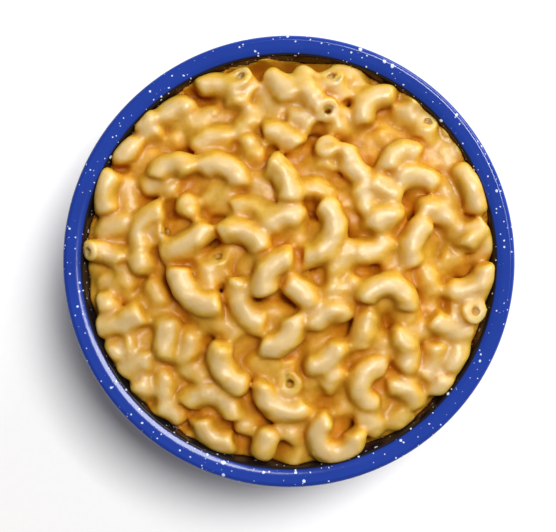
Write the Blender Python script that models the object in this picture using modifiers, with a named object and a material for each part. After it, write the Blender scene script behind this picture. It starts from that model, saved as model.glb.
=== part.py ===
"""Macaroni and cheese, heaped over the rim of its round enamelled steel bowl.

Two pieces, one inside the other: the pressed and enamelled bowl, with a rolled
rim and a shallow foot, and the heap of elbow macaroni and sauce that fills it.
The origin is the middle of the foot, on the table, with +Z up.
"""
import math
import random

import bmesh
import bpy

MM = 0.001

# The bowl.
BOWL_HEIGHT = 54.0 * MM
RIM_RADIUS = 76.0 * MM  # outer edge of the rolled rim
FOOT_RADIUS = 38.0 * MM  # where the flat foot meets the rounded corner
CORNER_RADIUS = 27.0 * MM  # outer radius of the corner between foot and wall
WALL_LEAN = math.radians(11.0)  # how far the wall leans out from upright
WALL = 1.3 * MM
LIP_FILLET = 2.0 * MM  # inner bend from the wall to the flat lip
ROLL_RADIUS = 1.7 * MM  # half the thickness of the rolled edge
LIP_CROWN = 0.15 * MM  # how far the flat of the lip stands up in its middle
FOOT_RING = 7.0 * MM  # width of the flat ring that touches the table
FOOT_RECESS = 0.8 * MM  # how far the middle of the base is pressed up
BOWL_STEPS = 60
CORNER_FACETS = 5
FILLET_FACETS = 3
ROLL_FACETS = 6

# The heap.
CLEARANCE = 0.5 * MM  # to the bowl's faceted inside, square to it
HEAP_EDGE = 47.6 * MM  # height of the food where it meets the wall
EDGE_WAVER = 0.5 * MM
HEAP_RISE = 13.0 * MM  # how far the middle stands above the edge
HEAP_CELLS = 48  # grid cells across the top
HEAP_SIDE_RINGS = 4

# The elbows that give the top its lumps.
LUMP_WIDTH = 5.2 * MM  # from an elbow's middle line to the foot of its lump
LUMP_HEIGHT = 4.6 * MM
BEND_RADIUS = 7.0 * MM
ELBOW_COUNT = 74
ELBOW_SWEEP = (math.radians(95.0), math.radians(190.0))
RELIEF_FADE = 9.0 * MM  # the lumps die away over this width before the wall
SEED = 7
HEAP_CREASE = math.radians(75.0)  # steeper folds than this are shaded as edges

ENAMEL_BLUE = (0.022, 0.058, 0.40, 1.0)
CHEESE_YELLOW = (0.78, 0.45, 0.13, 1.0)


def corner_end(radius):
    """Point where a corner arc of this radius runs into the straight wall."""
    return (
        FOOT_RADIUS + radius * math.cos(WALL_LEAN),
        CORNER_RADIUS - radius * math.sin(WALL_LEAN),
    )


def wall_radius(height, thickness=0.0):
    """Radius of the wall at a height, this far inside its outer surface."""
    corner = CORNER_RADIUS - thickness
    end_radius, end_height = corner_end(corner)
    if height >= end_height:
        return end_radius + (height - end_height) * math.tan(WALL_LEAN)
    drop = min(CORNER_RADIUS - height, corner)
    return FOOT_RADIUS + math.sqrt(corner ** 2 - drop ** 2)


def arc(centre, radius, start_deg, end_deg, steps):
    """Points along an arc in the (radius, height) plane, both ends included."""
    points = []
    for index in range(steps + 1):
        angle = math.radians(start_deg + (end_deg - start_deg) * index / steps)
        points.append((centre[0] + radius * math.cos(angle), centre[1] + radius * math.sin(angle)))
    return points


def bowl_profile():
    """Half section of the bowl: up the inside, over the rim and down the outside."""
    lean = math.degrees(WALL_LEAN)
    foot_centre = (FOOT_RADIUS, CORNER_RADIUS)
    fillet_height = BOWL_HEIGHT - LIP_FILLET
    reach = LIP_FILLET / math.cos(WALL_LEAN)
    fillet_centre = (wall_radius(fillet_height, WALL) + reach, fillet_height)
    roll_centre = (RIM_RADIUS - ROLL_RADIUS, BOWL_HEIGHT - ROLL_RADIUS)
    ring_inside = FOOT_RADIUS - FOOT_RING
    lip_middle = 0.5 * (fillet_centre[0] + roll_centre[0])
    under_lip = BOWL_HEIGHT - WALL
    roll_inside = roll_centre[0] - ROLL_RADIUS

    points = [(0.0, FOOT_RECESS + WALL), (ring_inside, FOOT_RECESS + WALL)]
    points += arc(foot_centre, CORNER_RADIUS - WALL, -90.0, -lean, CORNER_FACETS)
    points += arc(fillet_centre, LIP_FILLET, 180.0 - lean, 90.0, FILLET_FACETS)
    points.append((lip_middle, BOWL_HEIGHT + LIP_CROWN))
    points += arc(roll_centre, ROLL_RADIUS, 90.0, -180.0, ROLL_FACETS)
    points.append((roll_inside, under_lip))
    points.append((wall_radius(under_lip), under_lip))
    points += arc(foot_centre, CORNER_RADIUS, -lean, -90.0, CORNER_FACETS)
    points.append((ring_inside, 0.0))
    points.append((ring_inside - FOOT_RECESS, FOOT_RECESS))
    points.append((0.0, FOOT_RECESS))
    return points


def make_material(name, colour, roughness):
    material = bpy.data.materials.new(name)
    material.use_nodes = True
    shader = material.node_tree.nodes["Principled BSDF"]
    shader.inputs["Base Color"].default_value = colour
    shader.inputs["Roughness"].default_value = roughness
    shader.inputs["Metallic"].default_value = 0.0
    return material


def add_object(name, mesh, material, collection):
    mesh.materials.append(material)
    piece = bpy.data.objects.new(name, mesh)
    collection.objects.link(piece)
    return piece


def make_bowl(collection):
    """Turn the bowl's half section about the upright axis."""
    mesh = bpy.data.meshes.new("bowl")
    outline = bmesh.new()
    corners = [outline.verts.new((radius, 0.0, height)) for radius, height in bowl_profile()]
    for first, second in zip(corners, corners[1:]):
        outline.edges.new((first, second))
    outline.to_mesh(mesh)
    outline.free()
    material = make_material("speckled_blue_enamel", ENAMEL_BLUE, 0.18)
    bowl = add_object("bowl", mesh, material, collection)
    turn = bowl.modifiers.new("turn", "SCREW")
    turn.steps = BOWL_STEPS
    turn.render_steps = BOWL_STEPS
    turn.use_merge_vertices = True
    turn.merge_threshold = 0.00001
    turn.use_smooth_shade = True
    return bowl


def scatter_elbows():
    """Elbows laid on a sunflower spiral, each turned and bent its own way."""
    draw = random.Random(SEED)
    golden = math.pi * (3.0 - math.sqrt(5.0))
    spread = wall_radius(HEAP_EDGE, WALL) - BEND_RADIUS
    elbows = []
    for index in range(ELBOW_COUNT):
        distance = spread * math.sqrt((index + 0.5) / ELBOW_COUNT)
        angle = index * golden
        elbows.append({
            "x": distance * math.cos(angle),
            "y": distance * math.sin(angle),
            "start": draw.uniform(-math.pi, math.pi),
            "sweep": draw.uniform(*ELBOW_SWEEP),
            "bend": BEND_RADIUS * draw.uniform(0.8, 1.2),
        })
    return elbows


def distance_to_elbow(x, y, elbow):
    """Distance in plan from a point to an elbow's curved centre line."""
    dx = x - elbow["x"]
    dy = y - elbow["y"]
    turned = (math.atan2(dy, dx) - elbow["start"]) % math.tau
    if turned > elbow["sweep"]:
        past_end = turned - elbow["sweep"]
        turned = elbow["sweep"] if past_end < math.tau - turned else 0.0
    angle = elbow["start"] + turned
    return math.hypot(dx - elbow["bend"] * math.cos(angle), dy - elbow["bend"] * math.sin(angle))


def edge_height(angle):
    """Height of the food along the wall, which rises and falls a little."""
    return HEAP_EDGE + EDGE_WAVER * (math.sin(3.0 * angle + 0.4) + 0.6 * math.sin(7.0 * angle))


def top_height(x, y, elbows):
    """Height of the heap's uneven top at a point in plan."""
    radius = math.hypot(x, y)
    edge = edge_height(math.atan2(y, x))
    edge_radius = wall_radius(edge, WALL + CLEARANCE)
    share = min(radius / edge_radius, 1.0)
    mound = edge + HEAP_RISE * (1.0 - share ** 2)
    nearest = min(distance_to_elbow(x, y, elbow) for elbow in elbows)
    inside = max(1.0 - (nearest / LUMP_WIDTH) ** 2, 0.0)
    lump = LUMP_HEIGHT * (inside ** 1.5 - 0.5)
    fade = min((edge_radius - edge_radius * share) / RELIEF_FADE, 1.0)
    return mound + lump * fade


def disc_point(u, v):
    """Carry a point of the square from -1 to 1 smoothly onto the unit disc."""
    return u * math.sqrt(1.0 - 0.5 * v ** 2), v * math.sqrt(1.0 - 0.5 * u ** 2)


def make_heap(collection):
    """The food: an uneven top, and sides and bottom that follow the bowl's inside."""
    elbows = scatter_elbows()
    shape = bmesh.new()
    bmesh.ops.create_grid(shape, x_segments=HEAP_CELLS, y_segments=HEAP_CELLS, size=1.0)
    for vert in shape.verts:
        across, along = disc_point(vert.co.x, vert.co.y)
        angle = math.atan2(along, across)
        edge_radius = wall_radius(edge_height(angle), WALL + CLEARANCE)
        x = across * edge_radius
        y = along * edge_radius
        vert.co = (x, y, top_height(x, y, elbows))

    bottom = FOOT_RECESS + WALL + CLEARANCE
    ring = [edge for edge in shape.edges if edge.is_boundary]
    for level in range(1, HEAP_SIDE_RINGS + 1):
        grown = bmesh.ops.extrude_edge_only(shape, edges=ring)["geom"]
        ring = [item for item in grown if isinstance(item, bmesh.types.BMEdge)]
        depth = 1.0 - (1.0 - level / HEAP_SIDE_RINGS) ** 1.6
        for vert in [item for item in grown if isinstance(item, bmesh.types.BMVert)]:
            angle = math.atan2(vert.co.y, vert.co.x)
            height = edge_height(angle) + (bottom - edge_height(angle)) * depth
            radius = wall_radius(height, WALL + CLEARANCE)
            vert.co = (radius * math.cos(angle), radius * math.sin(angle), height)
    bmesh.ops.contextual_create(shape, geom=ring)
    bmesh.ops.recalc_face_normals(shape, faces=shape.faces[:])

    mesh = bpy.data.meshes.new("macaroni_heap")
    shape.to_mesh(mesh)
    shape.free()
    mesh.shade_smooth()
    mesh.set_sharp_from_angle(angle=HEAP_CREASE)
    material = make_material("cheese_macaroni", CHEESE_YELLOW, 0.35)
    return add_object("macaroni_heap", mesh, material, collection)


def main():
    for old in list(bpy.data.objects):
        bpy.data.objects.remove(old, do_unlink=True)
    collection = bpy.data.collections.new("mac_and_cheese")
    bpy.context.scene.collection.children.link(collection)
    make_bowl(collection)
    make_heap(collection)


main()
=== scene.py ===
# %% [markdown]
# # Macaroni and cheese in a speckled enamel bowl
#
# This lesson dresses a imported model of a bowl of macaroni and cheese. The model holds two
# plain solids: a turned bowl, and one lumpy heap that stands for all of the food. Both are
# replaced here by finer pieces that keep their size: a bowl with a smooth rolled rim, real
# hollow elbows of pasta, and the cheese sauce that coats and joins them.

import math

import bmesh
import bpy
import mathutils
import numpy as np
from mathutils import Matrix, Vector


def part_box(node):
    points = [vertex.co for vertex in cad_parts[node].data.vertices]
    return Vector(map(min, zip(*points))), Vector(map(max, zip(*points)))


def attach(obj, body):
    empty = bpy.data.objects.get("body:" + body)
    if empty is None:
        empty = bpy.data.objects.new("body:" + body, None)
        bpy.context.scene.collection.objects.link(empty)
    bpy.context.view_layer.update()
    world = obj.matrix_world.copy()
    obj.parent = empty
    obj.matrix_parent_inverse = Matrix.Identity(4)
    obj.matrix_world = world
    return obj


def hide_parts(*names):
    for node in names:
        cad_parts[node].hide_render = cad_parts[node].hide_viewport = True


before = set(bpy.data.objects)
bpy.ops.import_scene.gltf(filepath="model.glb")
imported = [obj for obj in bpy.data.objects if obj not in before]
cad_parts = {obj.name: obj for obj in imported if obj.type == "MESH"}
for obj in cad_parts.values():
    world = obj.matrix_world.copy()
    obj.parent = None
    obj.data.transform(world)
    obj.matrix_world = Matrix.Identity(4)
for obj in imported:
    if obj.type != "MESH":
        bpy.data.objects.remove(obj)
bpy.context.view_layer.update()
bowl_low, bowl_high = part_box("bowl")
heap_low, heap_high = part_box("macaroni_heap")
print("bowl", [round(1000 * size, 1) for size in bowl_high - bowl_low], "mm")
print("heap", [round(1000 * size, 1) for size in heap_high - heap_low], "mm")

# %% [markdown]
# ## Sizes
#
# The rim's radius and height and the heap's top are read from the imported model, so this
# file can't drift away from it. The smaller sizes of the pressed steel repeat what the
# model was drawn with. Food is easier to think about in millimetres, so the shapes are
# worked out in millimetres and turned into metres when a mesh is made.

# %% Sizes in millimetres
MM = 0.001
RIM_RADIUS = 1000 * bowl_high.x
RIM_HEIGHT = 1000 * bowl_high.z - 0.15  # the model's lip is crowned by this much
LIP_SLOPE = math.radians(5.0)  # the lip's flat falls this much towards the inside
SHOULDER = 7.5  # radius of the gentle bend inside the lip
SHOULDER_END = math.radians(24.0)  # its slope where the tight bend to the wall takes over
FOOT_RADIUS = 38.0
CORNER_RADIUS = 27.0
WALL_LEAN = math.radians(11.0)
WALL = 1.3
LIP_FILLET = 2.0
ROLL_RADIUS = 1.7
FOOT_RING = 7.0
FOOT_RECESS = 0.8

FOOD_EDGE = RIM_HEIGHT - 4.8
FOOD_TOP = 1000 * heap_high.z - 2.6


def wall_radius(height, thickness=WALL):
    """Radius of the wall at a height, this far inside its outer surface."""
    corner = CORNER_RADIUS - thickness
    end_radius = FOOT_RADIUS + corner * math.cos(WALL_LEAN)
    end_height = CORNER_RADIUS - corner * math.sin(WALL_LEAN)
    drop = np.clip(CORNER_RADIUS - np.asarray(height, float), -corner, corner)
    on_corner = FOOT_RADIUS + np.sqrt(corner ** 2 - drop ** 2)
    on_wall = end_radius + (np.asarray(height, float) - end_height) * math.tan(WALL_LEAN)
    return np.where(np.asarray(height) >= end_height, on_wall, on_corner)


FOOD_RADIUS = float(wall_radius(FOOD_EDGE))


def mound(x, y):
    """Height of the heap's smooth middle surface at a place in plan."""
    share = np.clip(np.hypot(x, y) / FOOD_RADIUS, 0.0, 1.0)
    return FOOD_EDGE + (FOOD_TOP - FOOD_EDGE) * (1.0 - share ** 2)


print(f"rim {RIM_RADIUS:.1f} mm, food {FOOD_RADIUS:.1f} mm out and {FOOD_TOP:.1f} mm high")

# %% [markdown]
# ## Light, floor and camera
#
# Food like this is shot from straight above on white, with one soft light high on the
# upper right. That light makes the highlights on the wet pasta, the bright line on the
# bend inside the rim at the lower left, and the short shadow on the floor. A weaker panel
# stands lower on the same side and brightens the rolled edge of the rim. A pale world
# fills the shadow a little.

# %% Light, floor and camera
scene = bpy.context.scene
scene.view_settings.view_transform = "Standard"
scene.view_settings.look = "None"


def node(tree, kind, settings=None, **inputs):
    """Add a node. An input given as a socket is linked, and any other value is set."""
    made = tree.nodes.new(kind)
    for name, value in (settings or {}).items():
        setattr(made, name, value)
    for name, value in inputs.items():
        numbered = name.startswith("in") and name[2:].isdigit()
        socket = made.inputs[int(name[2:]) if numbered else name.replace("_", " ")]
        if isinstance(value, bpy.types.NodeSocket):
            tree.links.new(value, socket)
        else:
            socket.default_value = value
    return made


def add_panel(name, azimuth, from_upright, distance, width, height, power):
    """A soft light panel, so far from the bowl's middle and turned to face it."""
    lamp = bpy.data.lights.new(name, "AREA")
    lamp.shape = "RECTANGLE"
    lamp.size = width
    lamp.size_y = height
    lamp.energy = power
    holder = bpy.data.objects.new(name, lamp)
    scene.collection.objects.link(holder)
    azimuth, from_upright = math.radians(azimuth), math.radians(from_upright)
    way = mathutils.Vector((math.sin(from_upright) * math.cos(azimuth),
                            math.sin(from_upright) * math.sin(azimuth), math.cos(from_upright)))
    holder.location = mathutils.Vector((0.0, 0.0, RIM_HEIGHT * MM)) + distance * way
    holder.rotation_euler = way.to_track_quat("Z", "Y").to_euler()
    return holder


world = bpy.data.worlds.new("pale_room")
world.use_nodes = True
world.node_tree.nodes["Background"].inputs["Color"].default_value = (1.0, 0.945, 0.865, 1.0)
world.node_tree.nodes["Background"].inputs["Strength"].default_value = 0.175
scene.world = world
add_panel("key_light", 45.0, 21.2, 2.20, 0.845, 0.845, 50.2)
add_panel("side_light", 47.0, 73.0, 1.90, 1.21, 0.55, 21.0)

camera_data = bpy.data.cameras.new("camera")
camera_data.lens = 85.0
camera_data.sensor_width = 36.0
camera = bpy.data.objects.new("camera", camera_data)
scene.collection.objects.link(camera)
scene.camera = camera
BOWL_SHARE = 0.8155  # of the view's width
VIEW_OFFSET = (-3.65, -1.55)  # the view's middle, from the bowl's middle
view_width = 2.0 * RIM_RADIUS / BOWL_SHARE
camera_rise = view_width * camera_data.lens / camera_data.sensor_width
camera.location = (VIEW_OFFSET[0] * MM, VIEW_OFFSET[1] * MM, (RIM_HEIGHT + camera_rise) * MM)
print(f"camera {camera_rise:.0f} mm above the rim, view {view_width:.1f} mm wide")

# %% [markdown]
# ## The enamel
#
# Vitreous enamel is glass melted onto steel. It is deep blue, very glossy and a little
# wavy, like the skin of an orange. The white speckles are drops of a second enamel. They
# are few, irregular and of mixed size, so two layers of scattered cells are used: one of
# larger drops and one of fine spray. A cell gets a drop only if its own random value is
# high enough, which is what keeps the drops sparse.

# %% The enamel material


def new_material(name):
    material = bpy.data.materials.new(name)
    material.use_nodes = True
    tree = material.node_tree
    return material, tree, tree.nodes["Principled BSDF"]


def drops(tree, place, cell, size, share):
    """White where a scattered drop covers the place. share is the part of cells that get one."""
    cells = node(tree, "ShaderNodeTexVoronoi", {"feature": "F1"}, Vector=place, Scale=1000 / cell)
    chance = node(tree, "ShaderNodeSeparateColor", Color=cells.outputs["Color"])
    radius = node(tree, "ShaderNodeMapRange", in0=chance.outputs["Red"], in1=1.0 - share, in2=1.0,
                  in3=0.0, in4=size / cell)
    inside = node(tree, "ShaderNodeMath", {"operation": "SUBTRACT"},
                  in0=radius.outputs["Result"], in1=cells.outputs["Distance"])
    soft = node(tree, "ShaderNodeMapRange", in0=inside.outputs["Value"], in1=0.0, in2=0.05,
                in3=0.0, in4=1.0)
    return soft.outputs["Result"]


def enamel_material():
    material, tree, shader = new_material("speckled_blue_enamel")
    place = node(tree, "ShaderNodeTexCoord").outputs["Object"]
    ragged = node(tree, "ShaderNodeTexNoise", Vector=place, Scale=1400.0, Detail=2.0)
    nudge = node(tree, "ShaderNodeVectorMath", {"operation": "SCALE"}, in0=ragged.outputs["Color"],
                 Scale=0.0005)
    place_ragged = node(tree, "ShaderNodeVectorMath", {"operation": "ADD"}, in0=place,
                        in1=nudge.outputs["Vector"]).outputs["Vector"]
    large = drops(tree, place_ragged, 2.7, 0.75, 0.40)
    fine = drops(tree, place_ragged, 1.25, 0.38, 0.42)
    either = node(tree, "ShaderNodeMath", {"operation": "MAXIMUM"}, in0=large, in1=fine)
    cloud = node(tree, "ShaderNodeTexNoise", Vector=place, Scale=60.0, Detail=3.0)
    blue = node(tree, "ShaderNodeMix", {"data_type": "RGBA"}, in0=cloud.outputs["Fac"],
                in6=(0.010, 0.035, 0.26, 1.0), in7=(0.014, 0.046, 0.33, 1.0))
    inner = node(tree, "ShaderNodeAttribute", {"attribute_name": "inner"}).outputs["Fac"]
    ground = node(tree, "ShaderNodeMix", {"data_type": "RGBA"}, in0=inner,
                  in6=blue.outputs[2], in7=(0.010, 0.009, 0.012, 1.0))
    colour = node(tree, "ShaderNodeMix", {"data_type": "RGBA"}, in0=either.outputs["Value"],
                  in6=ground.outputs[2], in7=(0.62, 0.70, 0.85, 1.0))
    peel = node(tree, "ShaderNodeTexNoise", Vector=place, Scale=420.0, Detail=2.0)
    bump = node(tree, "ShaderNodeBump", Strength=0.05, Distance=0.0003, Height=peel.outputs["Fac"])
    tree.links.new(colour.outputs[2], shader.inputs["Base Color"])
    tree.links.new(bump.outputs["Normal"], shader.inputs["Normal"])
    shader.inputs["Roughness"].default_value = 0.13
    shader.inputs["Specular IOR Level"].default_value = 0.30
    return material


enamel = enamel_material()
print("enamel nodes:", len(enamel.node_tree.nodes))

# %% [markdown]
# ## The bowl
#
# The bowl is pressed and spun from one sheet, so it is a half section turned about the
# upright axis. Every bend is an arc: the corner above the foot, the small bend where the
# wall opens into the lip, and the rolled edge. The Screw modifier turns the section with
# enough steps that the rim's outline and its highlight stay smooth.

# %% Turn the bowl
BOWL_STEPS = 240
LIP_START = 72.2  # radius at which the lip's flat begins
BLUE_START = 70.2  # radius at which the blue enamel gives way to the dark inside


def arc(centre, radius, start_deg, end_deg, steps):
    """Points along an arc in the (radius, height) plane, both ends included."""
    angles = np.radians(np.linspace(start_deg, end_deg, steps + 1))
    return [(centre[0] + radius * math.cos(a), centre[1] + radius * math.sin(a)) for a in angles]


def lip_bends(flat_end):
    """From the wall to the lip's flat: a tight bend, then the gentle shoulder."""
    shoulder = (flat_end[0] + SHOULDER * math.sin(LIP_SLOPE), flat_end[1] - SHOULDER * math.cos(LIP_SLOPE))
    join = (shoulder[0] - SHOULDER * math.sin(SHOULDER_END), shoulder[1] + SHOULDER * math.cos(SHOULDER_END))
    way = (math.sin(SHOULDER_END), -math.cos(SHOULDER_END))
    upright = 0.5 * math.pi - WALL_LEAN

    def bend(radius):
        centre = (join[0] + radius * way[0], join[1] + radius * way[1])
        return centre, centre[0] - radius * math.sin(upright), centre[1] + radius * math.cos(upright)

    low, high = 0.2, 8.0
    for _ in range(40):
        middle = 0.5 * (low + high)
        _, across, height = bend(middle)
        low, high = (middle, high) if across > float(wall_radius(height)) else (low, middle)
    centre, _, _ = bend(low)
    start, end = 90.0 + math.degrees(upright), 90.0 + math.degrees(SHOULDER_END)
    points = arc(centre, low, start, end, 10)
    return points + arc(shoulder, SHOULDER, end, 90.0 + math.degrees(LIP_SLOPE), 10)[1:]


def bowl_section():
    """Up the inside from the floor, over the lip and the roll, and down the outside."""
    lean = math.degrees(WALL_LEAN)
    foot = (FOOT_RADIUS, CORNER_RADIUS)
    roll = (RIM_RADIUS - ROLL_RADIUS, RIM_HEIGHT - ROLL_RADIUS)
    ring_inside = FOOT_RADIUS - FOOT_RING
    under_lip = RIM_HEIGHT - WALL
    tuck = 0.5 * WALL
    points = [(0.0, FOOT_RECESS + WALL), (ring_inside - 1.5, FOOT_RECESS + WALL)]
    points += arc(foot, CORNER_RADIUS - WALL, -90.0, -lean, 18)
    flat_end = (LIP_START, RIM_HEIGHT - (roll[0] - LIP_START) * math.tan(LIP_SLOPE))
    points += lip_bends(flat_end)
    for share in (0.04, 0.25, 0.5, 0.75, 0.96):
        points.append((flat_end[0] + share * (roll[0] - flat_end[0]),
                       flat_end[1] + share * (RIM_HEIGHT - flat_end[1])))
    points += arc(roll, ROLL_RADIUS, 90.0, -180.0, 42)
    points.append((roll[0] - ROLL_RADIUS, under_lip - tuck))
    points += arc((roll[0] - ROLL_RADIUS - tuck, under_lip - tuck), tuck, 0.0, 90.0, 3)
    points.append((float(wall_radius(under_lip, 0.0)) + tuck, under_lip))
    points.append((float(wall_radius(under_lip - tuck, 0.0)), under_lip - tuck))
    points += arc(foot, CORNER_RADIUS, -lean, -90.0, 18)
    points += arc((ring_inside, 0.5 * FOOT_RECESS), 0.5 * FOOT_RECESS, -90.0, -180.0, 3)
    points.append((ring_inside - FOOT_RECESS, FOOT_RECESS))
    points.append((0.0, FOOT_RECESS))
    return points


def vertex_arrays(mesh):
    """Vertex places in millimetres, and vertex normals."""
    count = len(mesh.vertices)
    places = np.empty(count * 3, np.float32)
    normals = np.empty(count * 3, np.float32)
    mesh.vertices.foreach_get("co", places)
    mesh.vertices.foreach_get("normal", normals)
    return places.reshape(-1, 3).astype(float) / MM, normals.reshape(-1, 3).astype(float)


def store_numbers(piece, name, values):
    """Keep one number for each vertex as a named attribute that a material can read."""
    attribute = piece.data.attributes.new(name, "FLOAT", "POINT")
    attribute.data.foreach_set("value", np.asarray(values, np.float32))


def turned(name, section, steps, material):
    """Turn a half section, given in millimetres, into a smooth closed mesh."""
    mesh = bpy.data.meshes.new(name)
    outline = bmesh.new()
    corners = [outline.verts.new((radius * MM, 0.0, height * MM)) for radius, height in section]
    for first, second in zip(corners, corners[1:]):
        outline.edges.new((first, second))
    outline.to_mesh(mesh)
    outline.free()
    rough = bpy.data.objects.new(name + "_section", mesh)
    scene.collection.objects.link(rough)
    turn = rough.modifiers.new("turn", "SCREW")
    turn.steps = steps
    turn.render_steps = steps
    turn.use_merge_vertices = True
    turn.merge_threshold = 0.00001
    made = bpy.data.meshes.new_from_object(rough.evaluated_get(bpy.context.evaluated_depsgraph_get()))
    bpy.data.objects.remove(rough)
    made.name = name
    made.shade_smooth()
    made.materials.clear()
    made.materials.append(material)
    piece = bpy.data.objects.new(name, made)
    scene.collection.objects.link(piece)
    return piece


bowl = turned("enamel_bowl", bowl_section(), BOWL_STEPS, enamel)


def mark_inner(piece):
    """Store 1 on the dark inside of the bowl and 0 on its blue lip and outside."""
    places, _ = vertex_arrays(piece.data)
    radius = np.hypot(places[:, 0], places[:, 1])
    below_lip = places[:, 2] < RIM_HEIGHT - 2.0
    limit = np.where(below_lip, wall_radius(places[:, 2], 0.5 * WALL), BLUE_START)
    store_numbers(piece, "inner", np.clip((limit - radius) / 0.4, 0.0, 1.0))


mark_inner(bowl)
print("bowl faces:", len(bowl.data.polygons), "lip flat from", LIP_START, "mm")
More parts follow.
